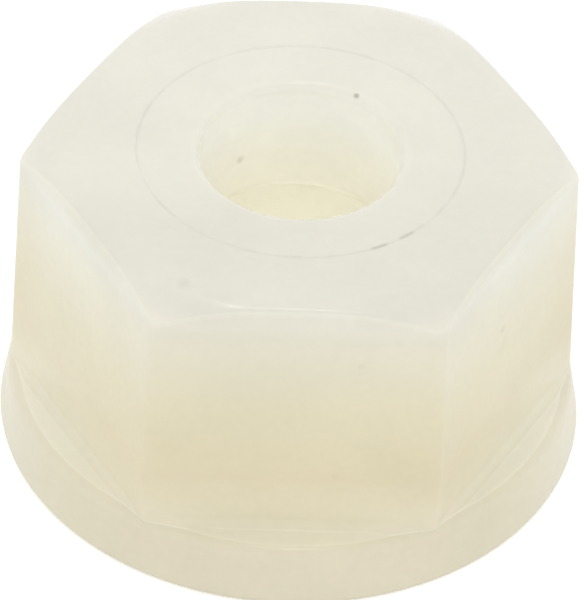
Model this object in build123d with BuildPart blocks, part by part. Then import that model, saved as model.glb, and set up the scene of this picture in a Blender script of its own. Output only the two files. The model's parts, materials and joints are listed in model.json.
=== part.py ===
"""Hexagonal lock nut in natural nylon, with a pressed-in locking insert.

Millimetres. The origin is the centre of the bearing face, where the nut meets the work.
+Z runs up the screw's axis to the crowned top, and one flat of the hexagon faces -Y.
"""
import os
from math import radians, tan

from build123d import *

# Screw thread: a quarter inch coarse thread. The bore stands at the crests of its 60 degree thread,
# which for this pitch of 1.27 lie this far inside the thread's major diameter, all round
thread_major_diameter = 6.35
thread_depth = 0.6874
# the bevelled entry is this much wider than the thread, all round
entry_margin = 0.2
entry_angle = 90.0

# Hexagon: a 7/16 inch spanner size at the foot of its flats, which lean in going up by the
# draft that frees the nut from its mould
across_flats = 11.11
nut_height = 7.6
flat_draft = 1.5
hex_corner_radius = 0.4

# Crown: the cone that takes off the hexagon's top corners, and just touches the flats between them
crown_angle = 33.2
crown_edge_radius = 1.2
flat_top_radius = 0.2

# Collar round the foot, and how far its top stands out past the foot of the flats
collar_ledge = 0.806
collar_height = 1.41
collar_draft = 10.0
collar_top_radius = 0.3
collar_base_radius = 0.15
flat_foot_radius = 0.25

# Locking insert, flush with the top, and how much narrower its plain bore is than the thread's
# crests, all round, so that it grips the screw
insert_diameter = 7.25
insert_depth = 2.9
insert_grip = 0.24
insert_mouth_radius = 0.2
# the fine rounding on both sides of the seam between the insert and the body
seam_edge_radius = 0.04

thread_bore_radius = thread_major_diameter / 2 - thread_depth
insert_bore_radius = thread_bore_radius - insert_grip
crown_radius = across_flats / 2 - (nut_height - collar_height) * tan(radians(flat_draft))
collar_top_reach = across_flats / 2 + collar_ledge
collar_radius = collar_top_reach + collar_height * tan(radians(collar_draft))
# the crown's cone is drawn out past the hexagon's corners
cone_reach = across_flats
cone_end_height = nut_height - (cone_reach - crown_radius) * tan(radians(crown_angle))

with BuildPart() as nut_body:
    with BuildSketch():
        RegularPolygon(across_flats / 2, 6, major_radius=False)
    extrude(amount=nut_height)
    sides = nut_body.faces().filter_by(Plane.XY, reverse=True)
    draft(sides, Plane.XY.offset(collar_height), flat_draft)
    corners = nut_body.edges().filter_by(Plane.XY, reverse=True)
    fillet(corners, hex_corner_radius)

    # the crown keeps what lies under a cone that is rounded into the top face
    with BuildSketch(Plane.XZ):
        with BuildLine():
            Polyline(
                (0, 0),
                (cone_reach, 0),
                (cone_reach, cone_end_height),
                (crown_radius, nut_height),
                (0, nut_height),
                close=True,
            )
        make_face()
        crown_edge = vertices().group_by(Axis.Y)[-1].sort_by(Axis.X)[-1]
        fillet(crown_edge, crown_edge_radius)
    revolve(axis=Axis.Z, mode=Mode.INTERSECT)
    flats = nut_body.faces().filter_by(GeomType.PLANE).filter_by(Plane.XY, reverse=True)
    flat_tops = flats.edges().filter_by(GeomType.LINE, reverse=True)
    fillet(flat_tops, flat_top_radius)

    # the collar is turned about the screw's axis
    with BuildSketch(Plane.XZ):
        with BuildLine():
            Polyline(
                (0, 0),
                (collar_radius, 0),
                (collar_top_reach, collar_height),
                (0, collar_height),
                close=True,
            )
        make_face()
        collar_top = vertices().group_by(Axis.Y)[-1].sort_by(Axis.X)[-1]
        fillet(collar_top, collar_top_radius)
        collar_base = vertices().group_by(Axis.Y)[0].sort_by(Axis.X)[-1]
        fillet(collar_base, collar_base_radius)
    revolve(axis=Axis.Z)
    ledge = nut_body.faces().filter_by(Plane.XY).filter_by_position(Axis.Z, collar_height, collar_height)
    flat_feet = ledge.edges().filter_by(GeomType.LINE)
    fillet(flat_feet, flat_foot_radius)

    # the insert's seat over the thread's bore, then the bevelled entry from below
    with Locations((0, 0, nut_height)):
        CounterBoreHole(thread_bore_radius, insert_diameter / 2, insert_depth)
    with Locations(-Plane.XY):
        CounterSinkHole(
            thread_bore_radius,
            thread_major_diameter / 2 + entry_margin,
            counter_sink_angle=entry_angle,
        )
    seat_mouth = nut_body.faces().sort_by(Axis.Z)[-1].edges().sort_by(SortBy.RADIUS)[0]
    fillet(seat_mouth, seam_edge_radius)

with BuildPart() as locking_insert:
    with BuildSketch(Plane.XZ):
        with Locations((insert_bore_radius, nut_height)):
            Rectangle(
                insert_diameter / 2 - insert_bore_radius,
                insert_depth,
                align=(Align.MIN, Align.MAX),
            )
        bore_mouth = vertices().group_by(Axis.Y)[-1].sort_by(Axis.X)[0]
        fillet(bore_mouth, insert_mouth_radius)
        seam = vertices().group_by(Axis.Y)[-1].sort_by(Axis.X)[-1]
        fillet(seam, seam_edge_radius)
    revolve(axis=Axis.Z)

os.makedirs("parts", exist_ok=True)
nut_body.part.label = "nut_body"
export_step(nut_body.part, "parts/nut_body.step")
locking_insert.part.label = "locking_insert"
export_step(locking_insert.part, "parts/locking_insert.step")

print("bore radii, thread and insert", round(thread_bore_radius, 4), round(insert_bore_radius, 4))
print("crown and collar radii", round(crown_radius, 3), round(collar_radius, 3))
print("nut body", round(nut_body.part.volume, 2), "insert", round(locking_insert.part.volume, 2))
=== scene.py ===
"""Hexagonal lock nut in natural nylon with a pressed-in locking insert: its surfaces, lights and camera.

Metres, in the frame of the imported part. The nut stands on its bearing face at z = 0, its screw axis
is +Z, and one flat of the hexagon faces -Y. Both pieces are closed meshes made of rows that run
round the axis: each row gives every column of the mesh its radius and its height. The materials
work in millimetres, so the places and widths in their values are in millimetres too.
"""

import json
from math import cos, pi, radians, sin, tan

import bmesh
import bpy
import numpy as np
from mathutils import Matrix, Vector


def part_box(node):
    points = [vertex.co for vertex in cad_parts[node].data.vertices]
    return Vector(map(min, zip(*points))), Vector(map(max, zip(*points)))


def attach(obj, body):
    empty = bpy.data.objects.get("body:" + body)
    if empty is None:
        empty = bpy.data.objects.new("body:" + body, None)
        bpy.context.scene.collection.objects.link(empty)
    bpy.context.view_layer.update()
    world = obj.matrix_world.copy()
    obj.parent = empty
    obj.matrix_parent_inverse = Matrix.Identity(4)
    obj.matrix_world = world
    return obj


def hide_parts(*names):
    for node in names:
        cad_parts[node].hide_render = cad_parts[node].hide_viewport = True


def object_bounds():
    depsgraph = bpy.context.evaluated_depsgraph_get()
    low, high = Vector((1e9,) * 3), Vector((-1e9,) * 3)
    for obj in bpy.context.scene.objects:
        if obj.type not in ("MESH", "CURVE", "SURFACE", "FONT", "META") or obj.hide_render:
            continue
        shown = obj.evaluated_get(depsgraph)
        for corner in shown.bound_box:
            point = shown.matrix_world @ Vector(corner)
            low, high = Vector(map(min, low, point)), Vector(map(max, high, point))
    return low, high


MM = 0.001

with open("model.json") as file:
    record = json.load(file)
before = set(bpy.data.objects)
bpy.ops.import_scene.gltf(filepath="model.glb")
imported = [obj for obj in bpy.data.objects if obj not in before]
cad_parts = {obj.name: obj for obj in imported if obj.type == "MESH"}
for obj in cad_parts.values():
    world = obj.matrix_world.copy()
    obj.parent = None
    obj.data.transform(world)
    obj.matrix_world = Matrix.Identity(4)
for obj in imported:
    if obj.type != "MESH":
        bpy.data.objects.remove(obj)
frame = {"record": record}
cad_low, cad_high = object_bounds()

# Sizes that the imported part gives
mounts = {mount["name"]: mount for mount in frame["record"]["mounts"]}
thread_crest_radius = mounts["screw_thread"]["dims"]["r_mm"] * MM
insert_bore_radius = mounts["insert_bore"]["dims"]["r_mm"] * MM
insert_low, insert_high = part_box("locking_insert")
insert_radius = insert_high.x
insert_foot = insert_low.z
nut_height = cad_high.z

# Hexagon: its flats lean in going up by the draft. A side takes up 60 degrees, 30 from its middle
# to a corner
across_flats = 11.11 * MM
flat_draft = radians(1.5)
hex_corner_radius = 0.4 * MM
side_angle = radians(60)
corner_angle = radians(30)

# Crown: the cone over the hexagon's corners, rounded into the top face and into the flats
crown_angle = radians(33.2)
crown_edge_radius = 1.2 * MM
flat_top_radius = 0.2 * MM

# Collar round the foot, and how far its top stands out past the foot of the flats
collar_ledge = 0.806 * MM
collar_height = 1.41 * MM
collar_draft = radians(10.0)
collar_top_radius = 0.3 * MM
collar_base_radius = 0.15 * MM
flat_foot_radius = 0.25 * MM

# Thread: a quarter inch coarse one, cut as a 60 degree groove whose flat root and flat crests are
# these shares of the pitch
thread_major_radius = 3.175 * MM
thread_pitch = 1.27 * MM
thread_root_share = 0.125
thread_crest_share = 0.25
# the groove runs out between these heights: above them the bore is plain up to the insert
runout_low = 2.85 * MM
runout_high = 3.5 * MM
# the bevelled entry is this much wider than the thread, all round
entry_margin = 0.2 * MM
entry_edge_radius = 0.03 * MM

# Locking insert and the fine seam round it
insert_mouth_radius = 0.2 * MM
insert_foot_radius = 0.02 * MM
seam_edge_radius = 0.003 * MM
seam_gap = 0.0008 * MM

# Sizes that follow from those above
crown_radius = across_flats / 2 - (nut_height - collar_height) * tan(flat_draft)
crown_arc_start = crown_radius - crown_edge_radius * tan(crown_angle / 2)
crown_arc_width = crown_edge_radius * sin(crown_angle)
collar_top_reach = across_flats / 2 + collar_ledge
collar_radius = collar_top_reach + collar_height * tan(collar_draft)
ledge_arc_start = collar_top_reach - collar_top_radius * tan((pi / 2 - collar_draft) / 2)
# followed to just short of where the ledge's round edge would stand upright
ledge_arc_width = collar_top_radius * 0.98
entry_radius = thread_major_radius + entry_margin
thread_low = entry_radius - thread_crest_radius
seat_radius = insert_radius + seam_gap / 2

# The meshes' columns: how many on each flat and round each corner, and how far to each side of a
# corner its own columns reach
FLAT_COLUMNS = 45
CORNER_COLUMNS = 11
CORNER_SPREAD = radians(2.1)
# The meshes' rows: on the crown, down the flats, round the collar's top and in a turn of the thread
CROWN_ROWS = 15
FLAT_ROWS = 32
COLLAR_TOP_ROWS = 10
THREAD_STEPS = 26
# how often the place where two surfaces meet is worked out again, each time nearer
MEETING_ROUNDS = 12
# points nearer to each other than the first become one, and edges shorter than the second are
# taken out
MERGE_DISTANCE = 1e-7
LEAST_EDGE = 1e-8
# a round edge's setback is taken as at least this, so that nothing is divided by zero
LEAST_SETBACK = 1e-12
# edges that bend by more than this are shaded sharp
SHARP_ANGLE = radians(32)

# Colours of the nylon by height, outside and in the bore, with painted light and shade in both. Outside
# they change with height for the way the light falls, warmer down the walls where light goes deep into
# the nylon, with painted shade and light about the collar's ledge and the crown's edge. In the bore,
# painted light keeps it as bright as the top, for the light that comes through the walls, and it is
# painted darker deep down and at the mouth. The dip at 4.7 is painted shade at the step up to the
# insert's narrower bore
OUTSIDE_COLOURS = (
    (0.0, (0.80, 0.745, 0.585)),
    (1.12, (0.785, 0.725, 0.56)),
    (1.37, (0.772, 0.718, 0.555)),
    (1.44, (0.82, 0.765, 0.59)),
    (1.8, (0.83, 0.77, 0.585)),
    (2.8, (0.79, 0.708, 0.505)),
    (4.4, (0.803, 0.742, 0.532)),
    (6.4, (0.84, 0.805, 0.655)),
    (7.1, (0.83, 0.805, 0.70)),
    (7.38, (0.79, 0.77, 0.68)),
    (7.6, (0.788, 0.768, 0.678)),
)
BORE_COLOURS = (
    (0.0, (0.80, 0.76, 0.60)),
    (2.0, (0.89, 0.85, 0.71)),
    (3.3, (0.955, 0.935, 0.85)),
    (4.1, (0.98, 0.965, 0.90)),
    (4.4, (0.995, 0.98, 0.925)),
    (4.66, (0.985, 0.97, 0.905)),
    (4.70, (0.925, 0.91, 0.845)),
    (4.79, (0.935, 0.92, 0.855)),
    (4.87, (0.98, 0.968, 0.902)),
    (6.0, (0.98, 0.97, 0.92)),
    (6.9, (0.965, 0.97, 0.945)),
    (7.3, (0.945, 0.94, 0.90)),
    (7.45, (0.90, 0.89, 0.82)),
    (7.54, (0.835, 0.815, 0.73)),
    (7.6, (0.805, 0.785, 0.69)),
)
# Each piece has the bore's colours up to this distance from the axis, less the width of the change
BODY_BORE_REACH = 3.45
INSERT_BORE_REACH = 2.50
BORE_BLEND = 0.12
# The collar's ledge is painted paler, painted light against the shade that the flats above cast on it,
# in a band too narrow for the colours by height. Its blend is given by the distance above or below the
# ledge
LEDGE_PAINTED_LIGHT = (0.862, 0.822, 0.68)
LEDGE_BLEND = (0.014, 0.003)
# Light comes through the crown's edge, so the steep faces just under it are paler. They are told by
# how far they face upwards and by their height
CROWN_EDGE_COLOUR = (0.852, 0.83, 0.72)
CROWN_EDGE_FACING = (0.82, 0.6)
CROWN_EDGE_HEIGHT = (6.75, 7.15)
# Painted light and shade by y, on the nut's top and on its walls: the nut is painted a shade darker
# towards -Y and paler towards +Y, for the way the light falls on it. The walls' shades give way to the
# top's between the two heights that follow them
TOP_PAINTED_SHADE = (
    (-6.0, (0.955, 0.955, 0.94)),
    (-2.8, (0.942, 0.942, 0.925)),
    (-0.5, (0.985, 0.985, 0.975)),
    (6.0, (1.0, 1.0, 1.0)),
)
WALL_PAINTED_SHADE = (
    (-6.6, (0.972, 0.968, 0.955)),
    (-5.4, (0.970, 0.966, 0.945)),
    (-5.2, (0.962, 0.962, 0.948)),
    (-4.2, (0.968, 0.974, 0.966)),
    (-2.9, (0.99, 1.008, 1.025)),
    (-1.5, (0.998, 1.018, 1.05)),
    (-0.4, (0.99, 1.0, 1.01)),
    (0.6, (0.985, 0.985, 0.975)),
    (6.0, (1.0, 1.0, 1.0)),
)
PAINTED_SHADE_CHANGE = (7.0, 7.45)

# Painted shade of the fine seam groove, with dirt in it: how dark the whole line is, and by the distance
# from the seam how wide the line and the darker marks in it are. The seam's painted shade and dirt lie
# only above these heights
SHADE_AND_DIRT_COLOUR = (0.16, 0.14, 0.07)
SEAM_LINE = 0.022
SEAM_LINE_WIDTH = (0.065, 0.02)
SEAM_MARK_WIDTH = (0.06, 0.03)
SEAM_HEIGHT = (nut_height / MM - 0.5, nut_height / MM - 0.3)
# where the line is missing, by turn and half width in degrees, and the share of the half width that
# is quite empty
SEAM_GAPS = ((-160.5, 8.0), (-118.0, 10.0))
GAP_CORE = 0.6
# the darker marks, by turn, half width and darkness, and the share of the half width that is darkest
SEAM_MARKS = (
    (-61.6, 4.2, 0.24),
    (-50.2, 4.0, 0.21),
    (-77.5, 8.0, 0.03),
    (-91.5, 3.0, 0.06),
    (-105.7, 2.5, 0.05),
    (-146.0, 5.0, 0.06),
    (-175.0, 6.0, 0.03),
    (160.0, 5.0, 0.06),
    (140.0, 9.0, 0.03),
    (105.0, 16.0, 0.03),
    (66.0, 5.0, 0.05),
    (28.0, 8.0, 0.04),
    (2.0, 12.0, 0.03),
    (-14.0, 13.0, 0.04),
)
MARK_CORE = 0.3
# Specks of dirt, each with its place, its radius and its darkness, and the shares of the radius
# where a speck ends and where it is darkest
SPECKS = (
    ((1.22, 1.95, 7.60), 0.10, 0.72),
    ((-1.30, 1.83, 5.71), 0.13, 0.20),
    ((-2.48, -4.58, 7.60), 0.19, 0.08),
    ((3.27, -5.55, 1.72), 0.09, 0.20),
    ((1.39, -5.43, 6.10), 0.11, 0.07),
    ((4.55, -3.04, 5.20), 0.15, 0.10),
    ((4.63, -3.02, 4.70), 0.30, 0.035),
    ((0.95, -5.51, 2.93), 0.12, 0.05),
)
SPECK_END = 1.15
SPECK_CORE = 0.2

# Surround: its strength, and how much that grows towards +X, +Y and +Z, so that it is a little
# brighter from the left and from behind
SURROUND = 1.0
SURROUND_TILT = (-0.012, 0.02, 0.0)
# Overhead lamps that glint on the crown's front edge: place, width and depth in millimetres, watts
OVERHEAD = (
    ("left", (-22.0, 36.0, 190.0), (13.0, 12.0), 0.0065),
    ("middle", (-7.0, 12.0, 190.0), (18.0, 12.0), 0.003),
    ("right", (7.0, -14.0, 190.0), (13.0, 12.0), 0.0105),
)
# The lit table under the open foot: how far above the floor it shines from, and its watts
TABLE_HEIGHT = 0.03 * MM
TABLE_POWER = 0.000059
# Floor: half its width in metres, its tone, and the light it adds for each kind of ray
FLOOR_HALF_WIDTH = 1.5
FLOOR_TONE = 0.9
FLOOR_LIGHT = (("Is Camera Ray", 0.35), ("Is Glossy Ray", 0.1), ("Is Transmission Ray", 0.1))
WHITE = (1, 1, 1, 1)


def columns():
    """The angles of the mesh's columns: close together round each corner of the hexagon."""
    spread_start = corner_angle - CORNER_SPREAD
    spread_end = corner_angle + CORNER_SPREAD
    flat = np.linspace(-spread_start, spread_start, FLAT_COLUMNS)
    round_corner = np.linspace(spread_start, spread_end, CORNER_COLUMNS + 2)[1:-1]
    sixth = np.concatenate([flat, round_corner])
    return np.concatenate([sixth + side_angle * side + corner_angle for side in range(6)])


TURNS = columns()


def hex_reach(apothem):
    """How far the rounded hexagon reaches from the axis along each column."""
    off_flat = TURNS % side_angle - corner_angle
    straight = apothem / np.cos(off_flat)
    corner_centre = (apothem - hex_corner_radius) / cos(corner_angle)
    off_corner = corner_angle - np.abs(off_flat)
    sideways = corner_centre * np.sin(off_corner)
    inside = np.maximum(hex_corner_radius**2 - sideways**2, 0)
    rounded = corner_centre * np.cos(off_corner) + np.sqrt(inside)
    on_arc = sideways < hex_corner_radius * sin(corner_angle)
    return np.where(on_arc, rounded, straight)


def flat_reach(height):
    """The drafted flats' distance from the axis along each column, at that height."""
    return hex_reach(across_flats / 2 - (height - collar_height) * tan(flat_draft))


def crown_height(reach):
    """The height of the crown: the flat top, its rounded edge and the cone."""
    along = np.clip(reach - crown_arc_start, 0, crown_arc_width)
    drop = crown_edge_radius - np.sqrt(crown_edge_radius**2 - along**2)
    beyond = np.maximum(reach - crown_arc_start - crown_arc_width, 0)
    return nut_height - drop - beyond * tan(crown_angle)


def crown_slope(reach):
    """The crown's downward slope, as an angle."""
    along = np.clip(reach - crown_arc_start, 0, crown_arc_width)
    return np.arcsin(along / crown_edge_radius)


def ledge_height(reach):
    """The height of the collar's top: the ledge and its rounded edge."""
    along = np.clip(reach - ledge_arc_start, 0, ledge_arc_width)
    return collar_height - collar_top_radius + np.sqrt(collar_top_radius**2 - along**2)


def ledge_slope(reach):
    """The downward slope of the collar's top, as an angle."""
    along = np.clip(reach - ledge_arc_start, 0, ledge_arc_width)
    return np.arcsin(along / collar_top_radius)


def arc_rows(start, bend, end, count):
    """Rows of a round edge that leaves start and reaches end, tangent to both lines at bend."""
    setback = np.hypot(bend[0] - start[0], bend[1] - start[1])
    half_chord = np.hypot(end[0] - start[0], end[1] - start[1]) / 2
    # this pull of the bend makes the curve an arc of a circle
    pull = np.clip(half_chord / np.maximum(setback, LEAST_SETBACK), 0, 1)
    rows = []
    for share in np.linspace(0, 1, count):
        near_start = (1 - share) ** 2
        near_bend = 2 * share * (1 - share) * pull
        near_end = share**2
        whole = near_start + near_bend + near_end
        reach = (near_start * start[0] + near_bend * bend[0] + near_end * end[0]) / whole
        height = (near_start * start[1] + near_bend * bend[1] + near_end * end[1]) / whole
        rows.append((reach, height))
    return rows


def straight_rows(start, end, count):
    """Rows between two places, without the two places themselves."""
    rows = []
    for share in np.linspace(0, 1, count + 2)[1:-1]:
        reach = start[0] + (end[0] - start[0]) * share
        height = start[1] + (end[1] - start[1]) * share
        rows.append((reach, height))
    return rows


def round_edge(before, bend, after, radius, count):
    """Rows that round the corner at bend, for a profile that is the same along every column."""
    into = np.subtract(bend, before)
    out = np.subtract(after, bend)
    into = into / np.hypot(*into)
    out = out / np.hypot(*out)
    turn = np.arccos(np.clip(into @ out, -1, 1))
    setback = radius * np.tan(turn / 2)
    start = np.array(bend) - into * setback
    end = np.array(bend) + out * setback
    return arc_rows(start, bend, end, count)


def meet(height_of, guess):
    """Where the drafted flats meet another surface, along each column."""
    height = np.full(len(TURNS), guess)
    for _ in range(MEETING_ROUNDS):
        height = height_of(flat_reach(height))
    return flat_reach(height), height


def flat_edge(height_of, slope_of, guess, radius, outward):
    """The round edge between the flats and the surface that they meet: its start, bend and end."""
    reach, height = meet(height_of, guess)
    side = 1 if outward else -1
    # far is where the edge starts on that surface: further in on the crown, further out on the ledge
    far = reach
    for _ in range(MEETING_ROUNDS):
        slope = slope_of(far)
        setback = radius * np.tan((pi / 2 - slope) / 2)
        far = (far + reach + side * setback * np.cos(slope)) / 2
    far_height = height_of(far)
    slope = slope_of(far)
    bend_reach = flat_reach(far_height + side * setback * np.sin(slope))
    bend_height = far_height - (bend_reach - far) * np.tan(slope)
    length = np.hypot(bend_reach - far, bend_height - far_height)
    end_height = bend_height + side * length
    return (far, far_height), (bend_reach, bend_height), (flat_reach(end_height), end_height)


def top_rows(crown_end):
    """The top face from the seam outwards, and the crown down to its edge with the flats."""
    top = nut_height
    seat_foot = (seat_radius, insert_foot)
    seam = (seat_radius, top)
    rows = round_edge(seat_foot, seam, (crown_radius, top), seam_edge_radius, count=5)
    rows += straight_rows((seat_radius + seam_edge_radius, top), (crown_arc_start, top), count=12)
    for share in np.linspace(0, 1, CROWN_ROWS + 1)[:-1]:
        reach = crown_arc_start + (crown_end[0] - crown_arc_start) * share
        rows.append((reach, crown_height(reach)))
    return rows


def flat_rows(start, end):
    """The flats, from the crown's edge down to the round foot."""
    rows = []
    for share in np.linspace(0, 1, FLAT_ROWS + 2)[1:-1]:
        height = start[1] + (end[1] - start[1]) * share
        rows.append((flat_reach(height), height))
    return rows


def collar_rows(ledge_start):
    """The collar: its ledge, its round top edge, its wall and the round edge of the bearing face."""
    arc_start = np.maximum(ledge_start[0], ledge_arc_start)
    rows = straight_rows(ledge_start, (arc_start, ledge_height(arc_start)), count=2)
    # where the hexagon's corners reach past the level ledge, the round edge begins part way down
    first_turn = np.arcsin(np.clip((arc_start - ledge_arc_start) / collar_top_radius, 0, 1))
    for share in np.linspace(0, 1, COLLAR_TOP_ROWS):
        turn = first_turn + (pi / 2 - collar_draft - first_turn) * share
        reach = ledge_arc_start + collar_top_radius * np.sin(turn)
        rows.append((reach, collar_height - collar_top_radius * (1 - np.cos(turn))))
    arc_end_reach = ledge_arc_start + collar_top_radius * cos(collar_draft)
    arc_end = (arc_end_reach, collar_height - collar_top_radius * (1 - sin(collar_draft)))
    base = (collar_radius, 0)
    rows += straight_rows(arc_end, base, count=8)[:-1]
    rows += round_edge(arc_end, base, (entry_radius, 0), collar_base_radius, count=8)
    return rows


def thread_rows():
    """Rows that follow the thread's helix up the bore, cut off level at both of its ends."""
    turns = (insert_foot - thread_low) / thread_pitch
    shares = TURNS / (2 * pi)
    depth = thread_major_radius - thread_crest_radius
    flank = (1 - thread_root_share - thread_crest_share) / 2
    last_step = int((turns + 1) * THREAD_STEPS) + 1
    rows = []
    for step in range(-THREAD_STEPS, last_step + 1):
        height = thread_low + (step / THREAD_STEPS + shares) * thread_pitch
        height = np.clip(height, thread_low, insert_foot)
        # the groove's middle is half a turn on from where the helix starts
        phase = ((height - thread_low) / thread_pitch - shares) % 1
        off_root = np.abs(phase - 0.5) - thread_root_share / 2
        cut = np.clip(1 - off_root / flank, 0, 1)
        kept = np.clip((runout_high - height) / (runout_high - runout_low), 0, 1)
        rows.append((thread_crest_radius + depth * np.maximum(cut + kept - 1, 0), height))
    return rows


def bore_rows():
    """The bearing face inwards, the entry bevel, the thread and the insert's seat."""
    entry = (entry_radius, 0)
    thread_start = (thread_crest_radius, thread_low)
    rows = straight_rows((collar_radius - collar_base_radius, 0), entry, count=10)
    rows += round_edge((collar_radius, 0), entry, thread_start, entry_edge_radius, count=4)
    rows += straight_rows(entry, thread_start, count=5)[1:]
    rows += thread_rows()
    rows += [(thread_crest_radius, insert_foot), (seat_radius, insert_foot)]
    return rows


def body_rows():
    """The nut body's rows: from the seam down the outside, under the foot and up the bore."""
    crown_end, crown_bend, flat_start = flat_edge(
        crown_height, crown_slope, nut_height, flat_top_radius, outward=False
    )
    ledge_start, foot_bend, flat_end = flat_edge(
        ledge_height, ledge_slope, collar_height, flat_foot_radius, outward=True
    )
    rows = top_rows(crown_end)
    rows += arc_rows(crown_end, crown_bend, flat_start, count=9)
    rows += flat_rows(flat_start, flat_end)
    rows += arc_rows(flat_end, foot_bend, ledge_start, count=8)
    rows += collar_rows(ledge_start)
    rows += bore_rows()
    return rows


def insert_rows():
    """The locking insert's rows: down its bore, out under its foot, up the seat and over the top."""
    outside = insert_radius - seam_gap / 2
    inside = insert_bore_radius
    top = nut_height
    low = insert_foot
    seam, mouth = (outside, top), (inside, top)
    inner_foot, outer_foot = (inside, low), (outside, low)
    rows = round_edge(seam, mouth, inner_foot, insert_mouth_radius, count=12)
    rows += straight_rows((inside, top - insert_mouth_radius), inner_foot, count=14)
    rows += round_edge(mouth, inner_foot, outer_foot, insert_foot_radius, count=4)
    rows += straight_rows((inside + insert_foot_radius, low), outer_foot, count=4)
    rows += [outer_foot]
    rows += straight_rows(outer_foot, (outside, top - seam_edge_radius), count=6)
    rows += round_edge(outer_foot, seam, mouth, seam_edge_radius, count=5)
    seam_end = outside - seam_edge_radius
    mouth_start = inside + insert_mouth_radius
    rows += straight_rows((seam_end, top), (mouth_start, top), count=10)
    return rows


def clean_mesh(mesh):
    """Closes up rows that meet, turns the faces outwards and marks the sharp edges."""
    shape = bmesh.new()
    shape.from_mesh(mesh)
    bmesh.ops.remove_doubles(shape, verts=shape.verts, dist=MERGE_DISTANCE)
    bmesh.ops.dissolve_degenerate(shape, edges=shape.edges, dist=LEAST_EDGE)
    bmesh.ops.recalc_face_normals(shape, faces=shape.faces)
    shape.to_mesh(mesh)
    shape.free()
    mesh.shade_smooth()
    mesh.set_sharp_from_angle(angle=SHARP_ANGLE)


def mesh_from_rows(name, rows, material):
    """A closed mesh from rows that run round the axis, the last row joined to the first."""
    reaches, heights = zip(*rows)
    reach = np.array([np.broadcast_to(value, len(TURNS)) for value in reaches], float)
    height = np.array([np.broadcast_to(value, len(TURNS)) for value in heights], float)
    points = np.stack([reach * np.cos(TURNS), reach * np.sin(TURNS), height], 2).reshape(-1, 3)
    row_count, column_count = reach.shape
    faces = []
    for row in range(row_count):
        here = row * column_count
        after = (row + 1) % row_count * column_count
        for column in range(column_count):
            beside = (column + 1) % column_count
            faces.append((here + column, here + beside, after + beside, after + column))
    mesh = bpy.data.meshes.new(name)
    mesh.from_pydata(points.tolist(), [], faces)
    piece = bpy.data.objects.new(name, mesh)
    bpy.context.scene.collection.objects.link(piece)
    clean_mesh(mesh)
    mesh.materials.append(material)
    return piece


class Graph:
    """The nodes of a material or of the world, and short ways to add and join them."""

    def __init__(self, owner):
        owner.use_nodes = True
        self.nodes = owner.node_tree.nodes
        self.links = owner.node_tree.links

    def plug(self, socket, value):
        """Sets a socket to a number or colour, or links it to another socket."""
        if isinstance(value, bpy.types.NodeSocket):
            self.links.new(value, socket)
        else:
            socket.default_value = value

    def place(self):
        """The place on the piece, in millimetres."""
        node = self.nodes.new("ShaderNodeTexCoord")
        return self.vector("SCALE", node.outputs["Object"], scale=1 / MM)

    def split(self, value):
        """The three parts of a vector."""
        node = self.nodes.new("ShaderNodeSeparateXYZ")
        self.links.new(value, node.inputs["Vector"])
        return node.outputs

    def maths(self, operation, *values):
        """The result of an operation on numbers."""
        node = self.nodes.new("ShaderNodeMath")
        node.operation = operation
        for socket, value in zip(node.inputs, values):
            self.plug(socket, value)
        return node.outputs["Value"]

    def vector(self, operation, *values, scale=None):
        """The result of an operation on vectors, which for some operations is a number."""
        node = self.nodes.new("ShaderNodeVectorMath")
        node.operation = operation
        for socket, value in zip(node.inputs, values):
            self.plug(socket, value)
        if scale is not None:
            self.plug(node.inputs["Scale"], scale)
        is_number = operation in ("LENGTH", "DISTANCE", "DOT_PRODUCT")
        return node.outputs["Value" if is_number else "Vector"]

    def fade(self, value, start, end, low=0.0, high=1.0):
        """A smooth change from low at start to high at end."""
        node = self.nodes.new("ShaderNodeMapRange")
        node.interpolation_type = "SMOOTHSTEP"
        self.links.new(value, node.inputs["Value"])
        node.inputs["From Min"].default_value = start
        node.inputs["From Max"].default_value = end
        node.inputs["To Min"].default_value = low
        node.inputs["To Max"].default_value = high
        return node.outputs["Result"]

    def noise(self, place, size, detail, roughness=0.5):
        """Cloudy noise whose blotches are about size millimetres across, from 0 to 1."""
        node = self.nodes.new("ShaderNodeTexNoise")
        self.links.new(place, node.inputs["Vector"])
        node.inputs["Scale"].default_value = 1 / size
        node.inputs["Detail"].default_value = detail
        node.inputs["Roughness"].default_value = roughness
        return node.outputs["Fac"]

    def ramp(self, value, stops):
        """Colours at places along a value, blended evenly between them."""
        node = self.nodes.new("ShaderNodeValToRGB")
        first, last = stops[0][0], stops[-1][0]
        share = self.maths("DIVIDE", self.maths("SUBTRACT", value, first), last - first)
        self.links.new(share, node.inputs["Fac"])
        elements = node.color_ramp.elements
        # a new ramp already has its first and last stop
        for where, _ in stops[1:-1]:
            elements.new((where - first) / (last - first))
        for element, (_, colour) in zip(elements, stops):
            element.color = (*colour, 1)
        return node.outputs["Color"]

    def mix(self, share, first, second, how="MIX"):
        """A share of the second colour mixed into the first."""
        node = self.nodes.new("ShaderNodeMix")
        node.data_type = "RGBA"
        node.blend_type = how
        self.plug(node.inputs["Factor"], share)
        # its two colour inputs and its colour output come after those for numbers and vectors
        for socket, colour in zip(node.inputs[6:8], (first, second)):
            self.plug(socket, (*colour, 1) if isinstance(colour, tuple) else colour)
        return node.outputs[2]


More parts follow.
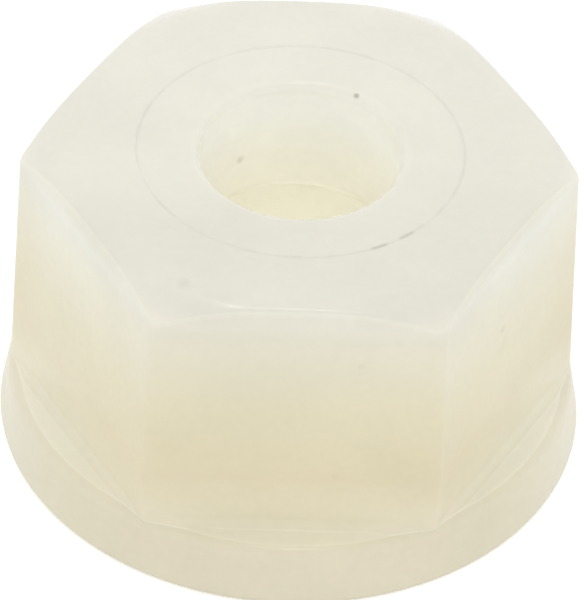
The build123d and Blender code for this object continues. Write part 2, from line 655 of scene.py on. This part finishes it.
def nylon_tone(graph, place, reach, bore_reach):
    """The nylon's colour, with painted light and shade: by height, painted paler at its thin edges, on
    the ledge and in the bore, darker towards -Y, and lightly clouded.
    """
    parts = graph.split(place)
    y = parts["Y"]
    height = parts["Z"]
    # colours by height, holding painted light and shade
    outside = graph.ramp(height, OUTSIDE_COLOURS)
    off_ledge = graph.maths("ABSOLUTE", graph.maths("SUBTRACT", height, collar_height / MM))
    # painted light on the collar's ledge
    outside = graph.mix(graph.fade(off_ledge, *LEDGE_BLEND), outside, LEDGE_PAINTED_LIGHT)

    normal = graph.nodes.new("ShaderNodeNewGeometry").outputs["Normal"]
    # painted light on the steep faces under the crown's edge
    steep = graph.fade(graph.split(normal)["Z"], *CROWN_EDGE_FACING)
    under_crown = graph.maths("MULTIPLY", steep, graph.fade(height, *CROWN_EDGE_HEIGHT))
    outside = graph.mix(under_crown, outside, CROWN_EDGE_COLOUR)

    # painted light in the bore, with its painted shade
    in_bore = graph.fade(reach, start=bore_reach, end=bore_reach - BORE_BLEND)
    colour = graph.mix(in_bore, outside, graph.ramp(height, BORE_COLOURS))

    # painted light and shade by y, darker towards -Y
    on_top = graph.fade(height, *PAINTED_SHADE_CHANGE)
    painted_shade = graph.mix(on_top, graph.ramp(y, WALL_PAINTED_SHADE), graph.ramp(y, TOP_PAINTED_SHADE))
    colour = graph.mix(1.0, colour, painted_shade, how="MULTIPLY")

    clouds = graph.noise(place, size=2.4, detail=3)
    clouds = graph.fade(clouds, start=0.3, end=0.7, low=0.975, high=1.015)
    grain = graph.noise(place, size=0.22, detail=2)
    grain = graph.fade(grain, start=0.25, end=0.75, low=0.99, high=1.01)
    return graph.vector("SCALE", colour, scale=graph.maths("MULTIPLY", clouds, grain))


def round_axis(graph, heading, turn, half_width, core, outside=0.0, inside=1.0):
    """A value by the turn round the axis: outside beyond the half width, inside within its core."""
    direction = (cos(radians(turn)), sin(radians(turn)), 0)
    along = graph.vector("DOT_PRODUCT", heading, direction)
    start = cos(radians(half_width))
    end = cos(radians(half_width * core))
    return graph.fade(along, start, end, outside, inside)


def shade_and_dirt_share(graph, place, reach, heading):
    """How dark the nylon is made: a faint patchy line of painted shade and dirt and darker marks in the
    seam, and a few specks of dirt.
    """
    off_seam = graph.maths("ABSOLUTE", graph.maths("SUBTRACT", reach, insert_radius / MM))
    line = graph.maths("MULTIPLY", graph.fade(off_seam, *SEAM_LINE_WIDTH), SEAM_LINE)
    patches = graph.noise(place, size=0.5, detail=3)
    patches = graph.fade(patches, start=0.40, end=0.62, low=0.1, high=2.0)
    shade_and_dirt = graph.maths("MULTIPLY", line, patches)
    for turn, half_width in SEAM_GAPS:
        kept = round_axis(graph, heading, turn, half_width, GAP_CORE, outside=1.0, inside=0.0)
        shade_and_dirt = graph.maths("MULTIPLY", shade_and_dirt, kept)
    band = graph.fade(off_seam, *SEAM_MARK_WIDTH)
    for turn, half_width, darkness in SEAM_MARKS:
        mark = round_axis(graph, heading, turn, half_width, MARK_CORE)
        dark = graph.maths("MULTIPLY", graph.maths("MULTIPLY", mark, band), darkness)
        shade_and_dirt = graph.maths("MAXIMUM", shade_and_dirt, dark)
    on_top = graph.fade(graph.split(place)["Z"], *SEAM_HEIGHT)
    shade_and_dirt = graph.maths("MULTIPLY", shade_and_dirt, on_top)
    for centre, radius, darkness in SPECKS:
        away = graph.vector("DISTANCE", place, centre)
        speck = graph.fade(away, start=radius * SPECK_END, end=radius * SPECK_CORE)
        shade_and_dirt = graph.maths("MAXIMUM", shade_and_dirt, graph.maths("MULTIPLY", speck, darkness))
    return shade_and_dirt


def nylon(name, bore_reach):
    """Natural nylon: milky, with soft gloss and faint clouds, painted light and shade and painted warmth
    where it is deep, and a little dirt with painted shade in the seam.
    """
    material = bpy.data.materials.new(name)
    graph = Graph(material)
    place = graph.place()
    flat_place = graph.vector("MULTIPLY", place, (1, 1, 0))
    reach = graph.vector("LENGTH", flat_place)
    heading = graph.vector("NORMALIZE", flat_place)

    tone = nylon_tone(graph, place, reach, bore_reach)
    shade_and_dirt = shade_and_dirt_share(graph, place, reach, heading)
    rough = graph.noise(place, size=0.5, detail=3)
    rough = graph.fade(rough, start=0.3, end=0.7, low=0.18, high=0.27)
    bump = graph.nodes.new("ShaderNodeBump")
    bump.inputs["Strength"].default_value = 0.25
    bump.inputs["Distance"].default_value = 0.004 * MM
    graph.plug(bump.inputs["Height"], graph.noise(place, size=0.12, detail=4, roughness=0.6))

    shader = graph.nodes["Principled BSDF"]
    # painted shade and dirt in the seam, and specks of dirt, darken the colour
    graph.plug(shader.inputs["Base Color"], graph.mix(shade_and_dirt, tone, SHADE_AND_DIRT_COLOUR))
    graph.plug(shader.inputs["Roughness"], rough)
    graph.plug(shader.inputs["Normal"], bump.outputs["Normal"])
    shader.inputs["IOR"].default_value = 1.53
    shader.inputs["Subsurface Weight"].default_value = 0.05
    shader.inputs["Subsurface Radius"].default_value = (1.0, 0.95, 0.85)
    shader.inputs["Subsurface Scale"].default_value = 0.4 * MM
    return material


def area_lamp(name, shape, place, aim, size, power):
    """A soft lamp at a place, facing along aim, that the camera doesn't see."""
    lamp = bpy.data.lights.new(name, "AREA")
    lamp.shape = shape
    lamp.size, lamp.size_y = size
    lamp.energy = power
    lit = bpy.data.objects.new(name, lamp)
    lit.location = place
    lit.rotation_euler = aim.to_track_quat("-Z", "Y").to_euler()
    lit.visible_camera = False
    bpy.context.scene.collection.objects.link(lit)


def lights():
    """An even, pale surround, as in a light tent, lamps overhead and the lit table under the bore."""
    world = bpy.data.worlds.new("surround")
    bpy.context.scene.world = world
    graph = Graph(world)
    direction = graph.nodes.new("ShaderNodeTexCoord").outputs["Generated"]
    tilt = graph.vector("DOT_PRODUCT", direction, SURROUND_TILT)
    background = graph.nodes["Background"]
    background.inputs["Color"].default_value = WHITE
    graph.plug(background.inputs["Strength"], graph.maths("ADD", tilt, SURROUND))

    for name, place, (width, depth), power in OVERHEAD:
        hung = Vector(place) * MM
        area_lamp(name, "RECTANGLE", hung, -hung, (width * MM, depth * MM), power)
    # the table shines up into the bore through the open foot
    table = Vector((0, 0, TABLE_HEIGHT))
    bore_width = 2 * insert_bore_radius
    area_lamp("table", "DISK", table, Vector((0, 0, 1)), (bore_width, bore_width), TABLE_POWER)


def white_floor():
    """The floor: white to the camera and in reflections, and still darker where the nut shades it."""
    material = bpy.data.materials.new("floor_white")
    graph = Graph(material)
    path = graph.nodes.new("ShaderNodeLightPath")
    added = 0.0
    for ray, strength in FLOOR_LIGHT:
        added = graph.maths("MULTIPLY_ADD", path.outputs[ray], strength, added)
    shader = graph.nodes["Principled BSDF"]
    shader.inputs["Base Color"].default_value = (FLOOR_TONE, FLOOR_TONE, FLOOR_TONE, 1)
    shader.inputs["Roughness"].default_value = 0.6
    shader.inputs["Emission Color"].default_value = WHITE
    graph.plug(shader.inputs["Emission Strength"], added)

    half = FLOOR_HALF_WIDTH
    corners = [(-half, -half, 0), (half, -half, 0), (half, half, 0), (-half, half, 0)]
    mesh = bpy.data.meshes.new("floor")
    mesh.from_pydata(corners, [], [(0, 1, 2, 3)])
    mesh.materials.append(material)
    floor = bpy.data.objects.new("floor", mesh)
    bpy.context.scene.collection.objects.link(floor)


def camera():
    """The photograph's view: a long lens, looking down at one flat of the hexagon."""
    elevation = radians(41.35)
    roll = radians(2.70)
    turn = radians(1.40)
    distance = 137.22 * MM
    # how far the camera stands to its own right and up from the line through the origin
    aim_right = 0.079 * MM
    aim_up = 2.384 * MM
    view_turn = Matrix.Rotation(-turn, 3, "Z") @ Matrix.Rotation(pi / 2 - elevation, 3, "X")
    axes = view_turn @ Matrix.Rotation(roll, 3, "Z")
    right, up, back = axes.col[0], axes.col[1], axes.col[2]
    place = right * aim_right + up * aim_up + back * distance
    # focal length and sensor width in millimetres
    data = bpy.data.cameras.new("camera")
    data.lens = 360
    data.sensor_width = 36
    data.clip_start = 0.01
    eye = bpy.data.objects.new("camera", data)
    eye.matrix_world = Matrix.Translation(place) @ axes.to_4x4()
    bpy.context.scene.collection.objects.link(eye)
    bpy.context.scene.camera = eye


body = mesh_from_rows("nut_body_moulding", body_rows(), nylon("body_nylon", BODY_BORE_REACH))
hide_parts("nut_body")
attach(body, "root")

insert = mesh_from_rows("locking_insert_ring", insert_rows(), nylon("insert_nylon", INSERT_BORE_REACH))
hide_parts("locking_insert")
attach(insert, "root")

white_floor()
lights()
camera()

bpy.context.scene.view_settings.view_transform = "Standard"
# enough bounces for the light to fill the bore
bpy.context.scene.cycles.diffuse_bounces = 12
bpy.context.scene.cycles.max_bounces = 16
